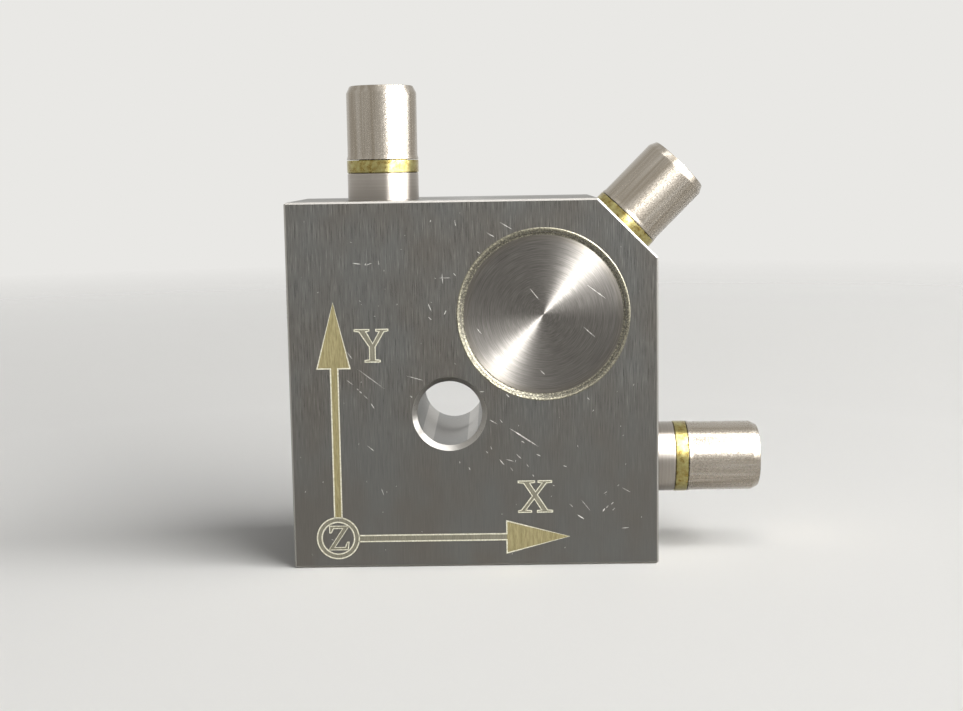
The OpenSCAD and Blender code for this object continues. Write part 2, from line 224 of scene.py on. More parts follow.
# Small nicks bring the scratches on the front face to this count. They keep clear of its borders, the hole,
# the cover and the bevel, and their lean from upright spreads by this angle in radians
SCRATCH_COUNT = 120
NICK_SEED = 11
NICK_LENGTH = (0.05, 0.22)
NICK_WIDTH = (0.02, 0.045)
NICK_LEAN = 0.7
BORDER_CLEAR = 0.5
HOLE_HEIGHT = 12.7
HOLE_CLEAR = 3.6
COVER_CLEAR = 7.8
BEVEL_CLEAR = 6


def srgb(code):
    """Linear colour of an sRGB hex code."""
    parts = [int(code[i:i + 2], 16) / 255 for i in (1, 3, 5)]
    linear = [c / 12.92 if c <= 0.04045 else ((c + 0.055) / 1.055) ** 2.4 for c in parts]
    return (*linear, 1.0)


def fill(target, inputs):
    """Links or sets the inputs of a node. A colour is given as its hex code."""
    for key, value in inputs.items():
        if isinstance(value, bpy.types.NodeSocket):
            target.id_data.links.new(value, target.inputs[key])
        else:
            target.inputs[key].default_value = srgb(value) if isinstance(value, str) else value


def node(tree, kind, inputs, out=0, **settings):
    """Adds a node with its settings and links, and gives one of its outputs."""
    added = tree.nodes.new(kind)
    for name, value in settings.items():
        setattr(added, name, value)
    fill(added, inputs)
    return added.outputs[out]


def start(name):
    """A new material, its node tree and its surface."""
    material = bpy.data.materials.new(name)
    material.use_nodes = True
    return material, material.node_tree, material.node_tree.nodes["Principled BSDF"]


def grain(tree, size, detail=3.0, contrast=0.6, place=None):
    """Random pattern with marks of this size in millimetres along the axes of the piece or of a place."""
    place = place or node(tree, "ShaderNodeTexCoord", {}, "Object")
    scale = tuple(1 / (s * MM) for s in size)
    stretched = node(tree, "ShaderNodeMapping", {"Vector": place, "Scale": scale})
    inputs = {"Vector": stretched, "Scale": 1.0, "Detail": detail, "Roughness": contrast}
    return node(tree, "ShaderNodeTexNoise", inputs)


def round_the_axis(tree, radius):
    """Distance from the piece's own z axis, and length round it at a radius in millimetres, as x and y."""
    place = node(tree, "ShaderNodeTexCoord", {}, "Object")
    flat = node(tree, "ShaderNodeVectorMath", {0: place, 1: (1, 1, 0)}, operation="MULTIPLY")
    far = node(tree, "ShaderNodeVectorMath", {0: flat}, "Value", operation="LENGTH")
    turn = node(tree, "ShaderNodeTexGradient", {"Vector": place}, 1, gradient_type="RADIAL")
    around = node(tree, "ShaderNodeMath", {0: turn, 1: 2 * math.pi * radius * MM}, operation="MULTIPLY")
    return node(tree, "ShaderNodeCombineXYZ", {"X": far, "Y": around})


def two_tone(tree, pattern, dark, light, low=0.35, high=0.65):
    """Colour that goes from dark to light as a pattern goes from low to high."""
    share = node(tree, "ShaderNodeMapRange", {"Value": pattern, "From Min": low, "From Max": high})
    return node(tree, "ShaderNodeMix", {0: share, 6: dark, 7: light}, 2, data_type="RGBA")


def brushed_stainless():
    # Grey block: fine brush lines with painted bright glints, drawn coarse enough to show. The lines are
    # worn smoother towards the base, and the edges are paler, partly bare worn steel and partly a painted
    # highlight
    material, tree, surface = start("stainless_steel_brushed")
    upright = grain(tree, (0.06, 0.06, 2.4), 2.0, 0.8)
    level = grain(tree, (2.4, 0.06, 0.06), 2.0, 0.8)
    normal = node(tree, "ShaderNodeNewGeometry", {}, "Normal")
    steep = node(tree, "ShaderNodeVectorMath", {0: normal}, operation="ABSOLUTE")
    lean = {way: node(tree, "ShaderNodeSeparateXYZ", {0: steep}, way) for way in "XYZ"}
    lying = node(tree, "ShaderNodeMath", {0: lean["Z"], 1: LYING_LEAN}, operation="GREATER_THAN")
    lines = node(tree, "ShaderNodeMix", {0: lying, 2: upright, 3: level})
    place = node(tree, "ShaderNodeTexCoord", {}, "Object")
    height = node(tree, "ShaderNodeSeparateXYZ", {0: place}, "Z")
    patches = grain(tree, (3.0, 3.0, 6.0), 2.0)
    border = node(tree, "ShaderNodeMath", {0: patches, 1: 5 * MM, 2: height}, operation="MULTIPLY_ADD")
    fresh = {"Value": border, "From Min": 8 * MM, "From Max": 17 * MM, "To Min": 0.25, "To Max": 1.0}
    wear = node(tree, "ShaderNodeMapRange", fresh)
    cut = node(tree, "ShaderNodeMath", {0: lines, 1: 0.5}, operation="SUBTRACT")
    worn = node(tree, "ShaderNodeMath", {0: cut, 1: wear}, operation="MULTIPLY")
    face = two_tone(tree, worn, "#666563", "#807f7c", -0.16, 0.16)
    # Painted glints: the highest brush lines get a pale colour that stands in for sparkle
    painted_glint_range = {"Value": worn, "From Min": 0.1, "From Max": 0.27, "To Max": 0.4}
    glint = node(tree, "ShaderNodeMapRange", painted_glint_range)
    face_with_painted_glints = node(tree, "ShaderNodeMix", {0: glint, 6: face, 7: "#d2cfc9"}, 2, data_type="RGBA")
    hue = two_tone(tree, grain(tree, (4.0, 4.0, 7.0), 2.0), "#f5f1ec", "#f9fbfb")
    toned = {0: 1.0, 6: face_with_painted_glints, 7: hue}
    face_with_painted_glints = node(tree, "ShaderNodeMix", toned, 2, data_type="RGBA", blend_type="MULTIPLY")
    # Edges and the bevel get a paler colour, partly bare worn steel and partly a painted highlight
    largest = node(tree, "ShaderNodeMath", {0: lean["X"], 1: lean["Y"]}, operation="MAXIMUM")
    largest = node(tree, "ShaderNodeMath", {0: largest, 1: lean["Z"]}, operation="MAXIMUM")
    edge_wear_and_highlight = node(tree, "ShaderNodeMath", {0: largest, 1: EDGE_LEAN}, operation="LESS_THAN")
    rough = {"Value": worn, "From Min": -0.16, "From Max": 0.16, "To Min": 0.26, "To Max": 0.36}
    fill(surface, {
        "Base Color": node(tree, "ShaderNodeMix", {0: edge_wear_and_highlight, 6: face_with_painted_glints, 7: "#a9a6a1"}, 2, data_type="RGBA"),
        "Roughness": node(tree, "ShaderNodeMapRange", rough),
        "Metallic": 1.0,
        "Anisotropic": 0.6,
        "Tangent": node(tree, "ShaderNodeTangent", {}, direction_type="RADIAL", axis="Z"),
        "Normal": node(tree, "ShaderNodeBump", {"Height": worn, "Distance": 0.006 * MM})})
    return material


def face_turned_stainless():
    # Cover disc: fine uneven lathe rings, drawn coarse enough to show, that pull the light into a bow tie
    material, tree, surface = start("stainless_steel_face_turned")
    polar = round_the_axis(tree, 3.3)
    rings = grain(tree, (0.08, 1.5, 1.0), 3.0, 0.7, polar)
    far = node(tree, "ShaderNodeSeparateXYZ", {0: polar}, "X")
    metal = two_tone(tree, rings, "#5b5854", "#7f7c78", 0.25, 0.75)
    tint = node(tree, "ShaderNodeMapRange", {
        "Value": far, "From Min": 5.8 * MM, "From Max": 6.6 * MM, "To Max": 0.2})
    fill(surface, {
        "Base Color": node(tree, "ShaderNodeMix", {0: tint, 6: metal, 7: "#7a6f59"}, 2, data_type="RGBA"),
        "Roughness": 0.43,
        "Metallic": 1.0,
        "Anisotropic": 0.93,
        "Anisotropic Rotation": 0.25,
        "Tangent": node(tree, "ShaderNodeTangent", {}, direction_type="RADIAL", axis="Z"),
        "Normal": node(tree, "ShaderNodeBump", {"Height": rings, "Distance": 0.002 * MM, "Strength": 0.3})})
    return material


def fine_turned_stainless():
    # Connector boss: bright grey stub with faint lathe lines, drawn coarse enough to show, that stretch
    # highlights along it
    material, tree, surface = start("stainless_steel_fine_turned")
    lines = grain(tree, (40.0, 40.0, 0.09), 2.0)
    fill(surface, {
        "Base Color": two_tone(tree, lines, "#a39c94", "#b0aaa3"),
        "Roughness": 0.34,
        "Metallic": 1.0,
        "Anisotropic": 0.95,
        "Anisotropic Rotation": 0.25,
        "Tangent": node(tree, "ShaderNodeTangent", {}, direction_type="RADIAL", axis="Z"),
        "Normal": node(tree, "ShaderNodeBump", {
            "Height": lines, "Distance": 0.002 * MM, "Strength": 0.25})})
    return material


def satin_nickel():
    # Dust cap: warm bright plate with lengthwise streaks and a fine glitter, drawn coarse enough to show.
    # Highlights stretch along it
    material, tree, surface = start("nickel_plate_satin")
    glitter = grain(tree, (0.15, 0.15, 0.18), 1.0, 0.8)
    streaks = grain(tree, (0.45, 0.45, 14.0), 2.0)
    rough = {"Value": glitter, "From Min": 0.3, "From Max": 0.7, "To Min": 0.24, "To Max": 0.31}
    fill(surface, {
        "Base Color": two_tone(tree, streaks, "#958c7f", "#b0a99f"),
        "Roughness": node(tree, "ShaderNodeMapRange", rough),
        "Metallic": 1.0,
        "Anisotropic": 0.7,
        "Anisotropic Rotation": 0.25,
        "Tangent": node(tree, "ShaderNodeTangent", {}, direction_type="RADIAL", axis="Z"),
        "Normal": node(tree, "ShaderNodeBump", {
            "Height": glitter, "Distance": 0.03 * MM, "Strength": 0.27})})
    return material


def gold_plate():
    # Jack shell and contact: soft olive gold, brown where it is dulled
    material, tree, surface = start("gold_plate_on_brass")
    dull = grain(tree, (0.5, 0.5, 0.5), 3.0, 0.7)
    rough = {"Value": dull, "From Min": 0.3, "From Max": 0.7, "To Min": 0.24, "To Max": 0.36}
    fill(surface, {
        "Base Color": two_tone(tree, dull, "#897640", "#b1aa75"),
        "Roughness": node(tree, "ShaderNodeMapRange", rough),
        "Metallic": 1.0,
        "Anisotropic": 0.9,
        "Anisotropic Rotation": 0.25,
        "Tangent": node(tree, "ShaderNodeTangent", {}, direction_type="RADIAL", axis="Z"),
        "Normal": node(tree, "ShaderNodeBump", {"Height": dull, "Distance": 0.02 * MM, "Strength": 0.6})})
    return material


def laser_weld(radius):
    # Weld bead: dark olive grey groove with a paler rim on its outer side, broken into specks
    material, tree, surface = start("stainless_steel_laser_weld")
    specks = grain(tree, (0.13, 0.13, 0.13), 3.0)
    far = node(tree, "ShaderNodeSeparateXYZ", {0: round_the_axis(tree, radius)}, "X")
    off = node(tree, "ShaderNodeMath", {0: far, 1: (radius + WELD_OUT) * MM}, operation="SUBTRACT")
    rim = node(tree, "ShaderNodeMapRange", {
        "Value": off, "From Min": 0.04 * MM, "From Max": 0.16 * MM, "To Min": -0.09, "To Max": 0.07})
    tone = node(tree, "ShaderNodeMath", {0: specks, 1: rim}, operation="ADD")
    fill(surface, {
        "Base Color": two_tone(tree, tone, "#55524a", "#918d7c", 0.37, 0.63),
        "Roughness": 0.36,
        "Metallic": 1.0,
        "Normal": node(tree, "ShaderNodeBump", {"Height": specks, "Distance": 0.02 * MM, "Strength": 0.6})})
    return material


def laser_line():
    # Outlines of the axis marks: pale cream lines that stand out from the steel
    material, tree, surface = start("stainless_steel_laser_line")
    burn = grain(tree, (0.12, 0.12, 0.12), 2.0)
    fill(surface, {
        "Base Color": two_tone(tree, burn, "#b3af98", "#d6d3c1"),
        "Roughness": 0.5,
        "Metallic": 0.35})
    return material


def laser_fill(name, dark, light):
    # Filling of the axis marks: olive or greyer heat tint with fine upright lines, coarse enough to show
    material, tree, surface = start(name)
    hatch = grain(tree, (0.09, 0.09, 0.9), 3.0, 0.7)
    fill(surface, {
        "Base Color": two_tone(tree, hatch, dark, light, 0.3, 0.7),
        "Roughness": 0.45,
        "Metallic": 0.7})
    return material


def bare_scratch():
    # Scratches: freshly cut steel, brighter than the face round it
    material, tree, surface = start("stainless_steel_scratched")
    glint = grain(tree, (0.2, 0.2, 0.2), 2.0)
    fill(surface, {
        "Base Color": two_tone(tree, glint, "#a19e98", "#ebe9e4"),
        "Roughness": 0.35,
        "Metallic": 0.6})
    return material


def turned_ptfe():
    # Insulators and sleeves: waxy white with a faint mottle
    material, tree, surface = start("ptfe_turned")
    fill(surface, {
        "Base Color": two_tone(tree, grain(tree, (0.6, 0.6, 0.6), 2.0), "#dfdcd3", "#f0eee8"),
        "Roughness": 0.45,
        "IOR": 1.35})
    return material


def moulded_rubber():
    # Cap gasket: dull near-black with a fine moulded grain
    material, tree, surface = start("nitrile_rubber_moulded")
    texture = grain(tree, (0.1, 0.1, 0.1), 2.0)
    fill(surface, {
        "Base Color": two_tone(tree, texture, "#161617", "#262627"),
        "Roughness": 0.7,
        "IOR": 1.52,
        "Normal": node(tree, "ShaderNodeBump", {
            "Height": texture, "Distance": 0.01 * MM, "Strength": 0.4})})
    return material


def ground_ceramic():
    # Piezo rings: matt straw-coloured ceramic with tiny pores
    material, tree, surface = start("piezo_ceramic_ground")
    fill(surface, {
        "Base Color": two_tone(tree, grain(tree, (0.12, 0.12, 0.12)), "#a89872", "#cdbc94"),
        "Roughness": 0.6})
    return material


def ground_tungsten():
    # Seismic mass: dark heavy grey with fine grinding lines
    material, tree, surface = start("tungsten_alloy_ground")
    fill(surface, {
        "Base Color": two_tone(tree, grain(tree, (0.1, 0.1, 2.0)), "#565553", "#82817e"),
        "Roughness": 0.35,
        "Metallic": 1.0})
    return material


def black_oxide():
    # Preload screw: blue-black oiled steel
    material, tree, surface = start("alloy_steel_black_oxide")
    fill(surface, {
        "Base Color": two_tone(tree, grain(tree, (0.4, 0.4, 0.4), 2.0), "#1c1c20", "#33333a"),
        "Roughness": 0.4,
        "Metallic": 0.6})
    return material


def rolled_bronze():
    # Electrode: thin rolled sheet, warm brown yellow with rolling lines
    material, tree, surface = start("phosphor_bronze_rolled")
    fill(surface, {
        "Base Color": two_tone(tree, grain(tree, (3.0, 0.08, 0.08)), "#9c6d3d", "#c8955d"),
        "Roughness": 0.32,
        "Metallic": 1.0})
    return material


def drawn_copper():
    # Signal lead: soft copper wire, faintly mottled
    material, tree, surface = start("copper_drawn")
    fill(surface, {
        "Base Color": two_tone(tree, grain(tree, (0.05, 0.05, 0.05), 2.0), "#9c5634", "#c97c50"),
        "Roughness": 0.35,
        "Metallic": 1.0})
    return material


def build(name, points, faces, smooth=True):
    """A mesh object from points in millimetres, with its faces turned outwards."""
    mesh = bpy.data.meshes.new(name)
    mesh.from_pydata([Vector(p) * MM for p in points], [], faces)
    work = bmesh.new()
    work.from_mesh(mesh)
    bmesh.ops.recalc_face_normals(work, faces=work.faces)
    work.to_mesh(mesh)
    work.free()
    if smooth:
        mesh.shade_smooth()
        mesh.set_sharp_from_angle(angle=math.radians(SHARP_ANGLE))
    piece = bpy.data.objects.new(name, mesh)
    bpy.context.scene.collection.objects.link(piece)
    return piece


def keep(piece, material, body, slot, *nodes):
    """Gives a piece its finish and its body, and hides the CAD nodes that it stands for."""
    piece.data.materials.append(material)
    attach(piece, body)
    if nodes:
        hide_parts(*nodes)


def rounded(corners, radius, closed):
    """A profile with each corner cut to a small arc. A corner may state its own radius as a third value."""
    points = []
    count = len(corners)
    for i, corner in enumerate(corners):
        here = Vector(corner[:2])
        if not closed and i in (0, count - 1):
            points.append(tuple(here))
            continue
        before = Vector(corners[i - 1][:2]) - here
        after = Vector(corners[(i + 1) % count][:2]) - here
        size = corner[2] if len(corner) > 2 else radius
        size = min(size, before.length * ARC_SHARE, after.length * ARC_SHARE)
        first = here + before.normalized() * size
        last = here + after.normalized() * size
        for step in range(ARC_STEPS + 1):
            t = step / ARC_STEPS
            points.append(tuple(first * (1 - t) ** 2 + here * 2 * t * (1 - t) + last * t ** 2))
    return points


def turned(name, profile, closed, cut=None):
    """A piece turned about its own z axis from radii and heights. What cut gives comes off the radius."""
    points = []
    loops = []
    for radius, height in profile:
        first = len(points)
        if radius < ON_AXIS:
            points.append((0, 0, height))
            loops.append([first] * SEGMENTS)
            continue
        for i in range(SEGMENTS):
            angle = 2 * math.pi * i / SEGMENTS
            r = radius - (cut(radius, height, angle) if cut else 0)
            points.append((r * math.cos(angle), r * math.sin(angle), height))
        loops.append(list(range(first, first + SEGMENTS)))
    faces = []
    pairs = list(zip(loops, loops[1:]))
    if closed:
        pairs.append((loops[-1], loops[0]))
    for low, high in pairs:
        for i in range(SEGMENTS):
            j = (i + 1) % SEGMENTS
            ring = [low[i], low[j], high[j], high[i]]
            face = list(dict.fromkeys(ring))
            if len(face) > 2:
                faces.append(face)
    return build(name, points, faces)


def reach(name, place, outer=0.0):
    """Lowest height, highest height and largest radius of a CAD node in a place's frame, in millimetres.
    Only the part of the node beyond the radius outer counts for the heights."""
    back = place.inverted()
    local = [(back @ v.co) / MM for v in NODES[name].data.vertices]
    radii = [math.hypot(p.x, p.y) for p in local]
    heights = [p.z for p, r in zip(local, radii) if r >= outer]
    return min(heights), max(heights), max(radii)


def jack_place(axis):
    """Frame of a jack: z along the jack, origin in the middle of the outer end of its boss."""
    joint = next(j for j in frame["joints"] if j["name"] == f"{axis}_cap_turn")
    turn = Vector(joint["axis"]).to_track_quat("Z", "Y").to_matrix().to_4x4()
    place = Matrix.Translation(joint["pos_m"]) @ turn
    top = reach(f"{axis}_connector_boss", place)[1]
    return place @ Matrix.Translation((0, 0, top * MM))


def make_boss(axis, place, material):
    """Plain turned stub between the block and the jack."""
    name = f"{axis}_connector_boss"
    low, high, radius = reach(name, place)
    spigot = low + SPIGOT_LEN
    bore = STEM_R + STEM_GAP
    profile = rounded([
        (BOSS_BORE, low), (SPIGOT_R, low), (SPIGOT_R, spigot), (radius, spigot), (radius, high, BOSS_EDGE),
        (bore, high), (bore, -STEM_LEN), (BOSS_BORE, -STEM_LEN)], EDGE_ROUND, True)
    piece = turned(f"{axis}_boss_skin", profile, True)
    piece.matrix_world = place
    keep(piece, material, "sensor", "turned_steel", name)


def off_groove(height, angle):
    """How far a place lies from the middle of the jack's thread groove, in pitches, at most a half."""
    phase = (height / THREAD_PITCH - angle / (2 * math.pi)) % 1
    return abs(phase - 0.5)


def groove_share(off_crest):
    """Share of its depth that a thread is cut to, this part of a pitch from the middle of a crest."""
    return max(0.0, min(1.0, off_crest * THREAD_FLANK - THREAD_CREST))


def make_jack(axis, place, material):
    """Gold-plated jack: stem, flange, relief groove, right-hand thread and socket."""
    name = f"{axis}_jack_shell"
    low, high, radius = reach(name, place)
    flange = reach(name, place, THREAD_R + FLANGE_STEP)[1]
    seat = reach(f"{axis}_jack_insulator", place)[0]
    first = flange + GROOVE_W
    last = high - NOSE_EDGE

    def thread(r, z, angle):
        if r < THREAD_R - CLOSE or not first + CLOSE < z < last + CLOSE:
            return 0.0
        ends = min(1.0, (z - first) / THREAD_FADE, (last - z) / THREAD_FADE)
        return THREAD_DEPTH * groove_share(0.5 - off_groove(z, angle)) * max(0.0, ends)

    groove = THREAD_R - GROOVE_DEPTH
    lower = rounded([
        (LIP_R, seat), (LIP_R, low), (STEM_R, low), (STEM_R, 0), (radius, 0, FLANGE_EDGES[0]),
        (radius, flange, FLANGE_EDGES[1]), (groove, flange), (groove, first), (THREAD_R, first)],
        EDGE_ROUND, False)
    rows = round((last - first) / THREAD_PITCH * THREAD_ROWS)
    start_z = first + THREAD_START
    barrel = [(THREAD_R, start_z + (last - start_z) * i / rows) for i in range(rows + 1)]
    nose = rounded([
        (THREAD_R, last), (THREAD_R - NOSE_EDGE, high), (SOCKET_R, high, SOCKET_EDGE), (SOCKET_R, seat)],
        EDGE_ROUND, False)
    piece = turned(f"{axis}_jack_skin", lower[1:] + barrel + nose[1:], True, thread)
    piece.matrix_world = place
    keep(piece, material, "sensor", "gold_plate", name)


def make_cap(axis, place, material):
    """Screw-on dust cap: plain outside, rounded rims, bore with its thread."""
    name = f"{axis}_dust_cap"
    low, high, radius = reach(name, place)
    gasket = reach(f"{axis}_cap_gasket", place)
    top = gasket[1] + GASKET_GAP
    bore = gasket[2] + CAP_GAP
    first = low + CAP_THREAD_ENDS[0]
    last = top - CAP_THREAD_ENDS[1]

    def thread(r, z, angle):
        if abs(r - bore) > CLOSE or not first < z < last:
            return 0.0
        ends = min(1.0, (z - first) / THREAD_FADE, (last - z) / THREAD_FADE)
        return -CAP_THREAD_DEPTH * ends * groove_share(off_groove(z, angle))

    end_in, end_long = CAP_TAPER
    flare, flare_long = MOUTH_FLARE
    plain = radius - flare
    rim = low + MOUTH_RIM
    outside = rounded([
        (0, high), (plain - end_in, high), (plain, high - end_long), (plain, rim + flare_long),
        (radius, rim), (radius, low), (bore, low, MOUTH_EDGE), (bore, top)], CAP_EDGE, False)
    rows = round((last - first) / THREAD_PITCH * THREAD_ROWS)
    inside = [(bore, first + (last - first) * i / rows) for i in range(rows + 1)]
    piece = turned(f"{axis}_cap_skin", outside[:-1] + inside + [(bore, top), (0, top)], False, thread)
    piece.matrix_world = place
    keep(piece, material, f"{axis}_cap", "satin_nickel", name)


def cover_place(axis):
    """Frame of a cover: z out of the face of the block that it closes, origin in that face."""
    low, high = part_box(f"{axis}_cover")
    block_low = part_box("housing")[0]
    middle = (Vector(low) + Vector(high)) / 2
    side = {"x": 0, "y": 2, "z": 1}[axis]
    middle[side] = block_low[side]
    out = Vector((0, 0, 0))
    out[side] = -1
    return Matrix.Translation(middle) @ out.to_track_quat("Z", "Y").to_matrix().to_4x4()


def make_cover(axis, place, material):
    """Round cover, let a little into the block. Gives its radius and the height of its outer face."""
    name = f"{axis}_cover"
    low, high, radius = reach(name, place)
    profile = rounded([(0, low), (radius, low), (radius, high, COVER_EDGE), (0, high)], EDGE_ROUND, False)
    steps = [(radius * share, high) for share in COVER_RINGS]
    piece = turned(f"{axis}_cover_skin", profile[:-1] + steps + profile[-1:], False)
    piece.matrix_world = place
    keep(piece, material, "sensor", "turned_cover", name)
    return radius, high


def make_weld(axis, place, radius, depth, material):
    """Ring of overlapping laser spots over the joint between cover and block."""
    chance = random.Random(WELD_SEED + AXES.index(axis))
    points = []
    faces = []
    half = WELD_WIDTH / 2
    for i in range(WELD_COLUMNS):
        angle = 2 * math.pi * i / WELD_COLUMNS
        along = angle * radius / WELD_SPOT
        for k in range(WELD_ROWS):
            side = 2 * k / (WELD_ROWS - 1) - 1
            base = depth * min(1.0, max(0.0, WELD_DIP_SLOPE * (-side - WELD_DIP_START)))
            # Four times makes the peak of the rim one
            rim = 4 * max(0.0, side) ** 2 * (1 - side * side)
            spot = 0.5 + 0.5 * math.cos(2 * math.pi * (along - WELD_BOW * side * side))
            lift = rim * (WELD_RISE + WELD_RIPPLE * spot)
            lift += (1 - side * side) * chance.uniform(0, 1) * WELD_ROUGH
            r = radius + WELD_OUT + side * half
            points.append((r * math.cos(angle), r * math.sin(angle), base + lift + WELD_CLEAR))
        for r in (radius + WELD_OUT + half, radius + WELD_OUT - half):
            points.append((r * math.cos(angle), r * math.sin(angle), depth - WELD_SINK))
    count = WELD_ROWS + 2
    for i in range(WELD_COLUMNS):
        here = i * count
        there = (i + 1) % WELD_COLUMNS * count
        for k in range(count):
            j = (k + 1) % count
            faces.append((here + k, here + j, there + j, there + k))
    piece = build(f"{axis}_weld_bead", points, faces)
    piece.matrix_world = place
    keep(piece, material, "sensor", "turned_cover")


def slab(name, outlines, level, rise):
    """Thin plates that stand this far out of a face in front, from outlines given as x and z."""
    points = []
    faces = []
    for outline in outlines:
        first = len(points)
        count = len(outline)
        points += [(x, level - rise, z) for x, z in outline]
        points += [(x, level + MARK_SINK, z) for x, z in outline]
        faces.append(tuple(range(first, first + count)))
        faces.append(tuple(range(first + 2 * count - 1, first + count - 1, -1)))
        for i in range(count):
            j = (i + 1) % count
            faces.append((first + i, first + j, first + count + j, first + count + i))
    return build(name, points, faces, False)


def stroke(path, width, closed):
    """Outlines of the short bars that draw a path as a line of this width, mitred where they meet."""
    count = len(path)
    sides = []
    for i, point in enumerate(path):
        here = Vector(point)
        before = here - Vector(path[i - 1]) if closed or i else None
        after = Vector(path[(i + 1) % count]) - here if closed or i < count - 1 else None
        ways = [w.normalized() for w in (before, after) if w is not None]
        normals = [Vector((-w.y, w.x)) for w in ways]
        total = sum(normals, Vector((0, 0)))
        size = max(MITRE_LIMIT, total.length_squared / len(normals) ** 2)
        miter = total / len(normals) / size
        sides.append((here + miter * width / 2, here - miter * width / 2))
    last = count if closed else count - 1
    bars = []
    for i in range(last):
        j = (i + 1) % count
        bars.append([tuple(p) for p in (sides[i][0], sides[j][0], sides[j][1], sides[i][1])])
    return bars


def circle(centre, radius):
    """Points round a circle."""
    turns = [2 * math.pi * i / CIRCLE_POINTS for i in range(CIRCLE_POINTS)]
    return [(centre[0] + radius * math.cos(t), centre[1] + radius * math.sin(t)) for t in turns]


def in_box(letter, box):
    """A letter drawn in the unit square, carried into its place."""
    return [(box[0] + u * (box[2] - box[0]), box[1] + v * (box[3] - box[1])) for u, v in letter]


def make_marks(level, line, hatch, tint):
    """Axis arrows, their origin circle and the axis letters, on the front face."""
    letters = [in_box(Y_LETTER, Y_BOX), in_box(X_LETTER, X_BOX), in_box(Z_LETTER, Z_BOX)]
    bars = []
    for letter in letters:
        bars += stroke(letter, LETTER_LINE, True)
    bars += stroke(Y_ARROW, MARK_LINE, False)
    bars += stroke(X_SHAFT[:2] + X_HEAD[1:4] + X_SHAFT[2:], MARK_LINE, False)
    bars += stroke(circle(CIRCLE_AT, CIRCLE_OUTER), MARK_LINE, True)
    bars += stroke(circle(CIRCLE_AT, CIRCLE_INNER), MARK_LINE, True)
    keep(slab("axis_mark_lines", bars, level, MARK_RISE), line, "sensor", "brushed_housing")
    heads = [list(Y_ARROW), list(X_HEAD)]
    keep(slab("axis_mark_heads", heads, level, FILL_RISE), hatch, "sensor", "brushed_housing")
    middle = (CIRCLE_OUTER + CIRCLE_INNER) / 2
    rest = stroke(circle(CIRCLE_AT, middle), CIRCLE_OUTER - CIRCLE_INNER, True) + [list(X_SHAFT)] + letters
    keep(slab("axis_mark_fill", rest, level, FILL_RISE), tint, "sensor", "brushed_housing")


def sliver(x0, z0, x1, z1, width):
    """Outline of a scratch, pointed at both ends."""
    first = Vector((x0, z0))
    last = Vector((x1, z1))
    along = (last - first).normalized()
    aside = Vector((-along.y, along.x)) * width / 2
    near, far = [first.lerp(last, share) for share in SCRATCH_SHOULDERS]
    return [tuple(p) for p in (first, near + aside, far + aside, last, far - aside, near - aside)]


def make_scratches(level, cover_level, material):
    """Scratches and small nicks on the front face and on its cover."""
    chance = random.Random(NICK_SEED)
    low, high = [Vector(v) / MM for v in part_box("housing")]
    lines = [sliver(*s) for s in FACE_SCRATCHES]
    hole = Vector((0, HOLE_HEIGHT))
    middle = (Vector(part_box("z_cover")[0]) + Vector(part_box("z_cover")[1])) / 2 / MM
    cover = Vector((middle.x, middle.z))
    while len(lines) < SCRATCH_COUNT:
        x = chance.uniform(low.x + BORDER_CLEAR, high.x - BORDER_CLEAR)
        z = chance.uniform(low.z + BORDER_CLEAR, high.z - BORDER_CLEAR)
        length = chance.uniform(*NICK_LENGTH)
        turn = chance.gauss(0, NICK_LEAN)
        near_hole = (Vector((x, z)) - hole).length < HOLE_CLEAR
        near_cover = (Vector((x, z)) - cover).length < COVER_CLEAR
        if near_hole or near_cover or x + z > high.x + high.z - BEVEL_CLEAR:
            continue
        end = (x + length * math.sin(turn), z + length * math.cos(turn))
        lines.append(sliver(x, z, *end, chance.uniform(*NICK_WIDTH)))
    keep(slab("face_scratches", lines, level, SCRATCH_RISE), material, "sensor", "brushed_housing")
    marks = [sliver(*s) for s in COVER_SCRATCHES]
    keep(slab("cover_scratches", marks, cover_level, SCRATCH_RISE), material, "sensor", "turned_cover")


def dress(ending, material):
    """Gives every CAD node with this ending its finish."""
    for name, piece in NODES.items():
        if name.endswith(ending):
            piece.data.materials.clear()
            piece.data.materials.append(material)


def make_floor():
    """Pale floor that fades out far from the object. It is open under the block and clear from below."""
    low, high = [Vector(v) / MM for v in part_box("housing")]
    inner = (low.x + FLOOR_INSET, low.y + FLOOR_INSET, high.x - FLOOR_INSET, high.y - FLOOR_INSET)
    outer = (-FLOOR_HALF, -FLOOR_HALF, FLOOR_HALF, FLOOR_HALF)
    corners = []
    for left, front, right, back in (outer, inner):
        for x, y in ((left, front), (right, front), (right, back), (left, back)):
            corners.append((x, y, -FLOOR_DROP))
    faces = [(i, (i + 1) % 4, (i + 1) % 4 + 4, i + 4) for i in range(4)]
    floor = build("floor", corners, faces, False)
    if floor.data.polygons[0].normal.z < 0:
        floor.data.flip_normals()
    material, tree, surface = start("stage_floor")
    fill(surface, {"Base Color": "#dddcd9", "Roughness": 1.0, "Specular IOR Level": 0.0})
    place = node(tree, "ShaderNodeTexCoord", {}, "Object")
    far = node(tree, "ShaderNodeVectorMath", {0: place}, "Value", operation="LENGTH")
    near_mm, far_mm = FLOOR_FADE
    fade = node(tree, "ShaderNodeMapRange", {
        "Value": far, "From Min": near_mm * MM, "From Max": far_mm * MM})
    below = node(tree, "ShaderNodeNewGeometry", {}, "Backfacing")
    fade = node(tree, "ShaderNodeMath", {0: fade, 1: below}, operation="MAXIMUM")
    clear = node(tree, "ShaderNodeBsdfTransparent", {})
    mixed = node(tree, "ShaderNodeMixShader", {0: fade, 1: surface.outputs[0], 2: clear})
    fill(tree.nodes["Material Output"], {"Surface": mixed})
    floor.data.materials.append(material)


